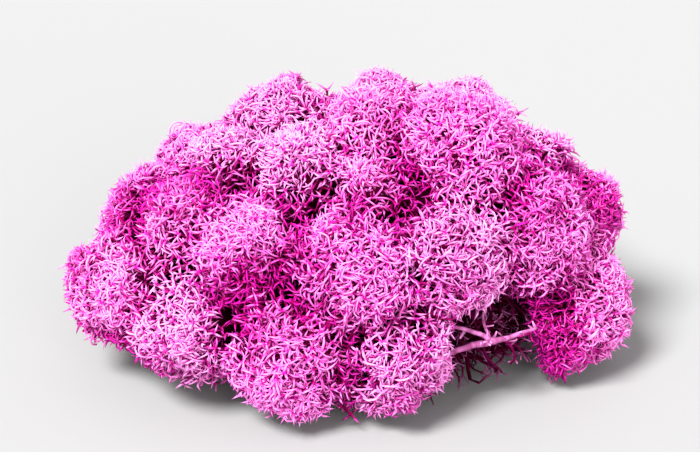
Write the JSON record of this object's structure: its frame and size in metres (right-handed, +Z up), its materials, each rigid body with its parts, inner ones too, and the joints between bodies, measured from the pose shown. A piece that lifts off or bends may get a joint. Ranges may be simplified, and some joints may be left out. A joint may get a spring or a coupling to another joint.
{
  "type": "reindeer moss clump",
  "caption": "Low rounded clump of pink dyed reindeer moss, a lichen: fine-branched heads pressed together on a tangled mat of old stems, lying on a small flat spot.",
  "frame": {"origin": "on the small flat spot that the clump rests on, below the middle of the stem mat", "axes": "+X along the clump's width, its longest side; +Y from the front to the back; +Z up from the surface that it rests on"},
  "size_m": [0.1489, 0.119, 0.0764],
  "materials": {
    "old_stems": "matte",
    "hot_pink": "matte",
    "orchid": "matte",
    "mauve": "matte"
  },
  "bodies": {
    "root": {"stem_mat": "old_stems", "moss_head_01": "orchid", "moss_head_02": "mauve", "moss_head_03": "orchid", "moss_head_04": "mauve", "moss_head_05": "mauve", "moss_head_06": "hot_pink", "moss_head_07": "orchid", "moss_head_08": "mauve", "moss_head_09": "mauve", "moss_head_10": "hot_pink", "moss_head_11": "mauve", "moss_head_12": "orchid", "moss_head_13": "orchid", "moss_head_14": "mauve", "moss_head_15": "orchid", "moss_head_16": "hot_pink", "moss_head_17": "mauve", "moss_head_18": "hot_pink", "moss_head_19": "hot_pink", "moss_head_20": "hot_pink", "moss_head_21": "mauve", "moss_head_22": "orchid", "moss_head_23": "hot_pink", "moss_head_24": "hot_pink", "moss_head_25": "mauve", "moss_head_26": "orchid", "moss_head_27": "orchid", "moss_head_28": "hot_pink", "moss_head_29": "hot_pink", "moss_head_30": "orchid", "moss_head_31": "hot_pink", "moss_head_32": "mauve"}
  },
  "joints": []
}
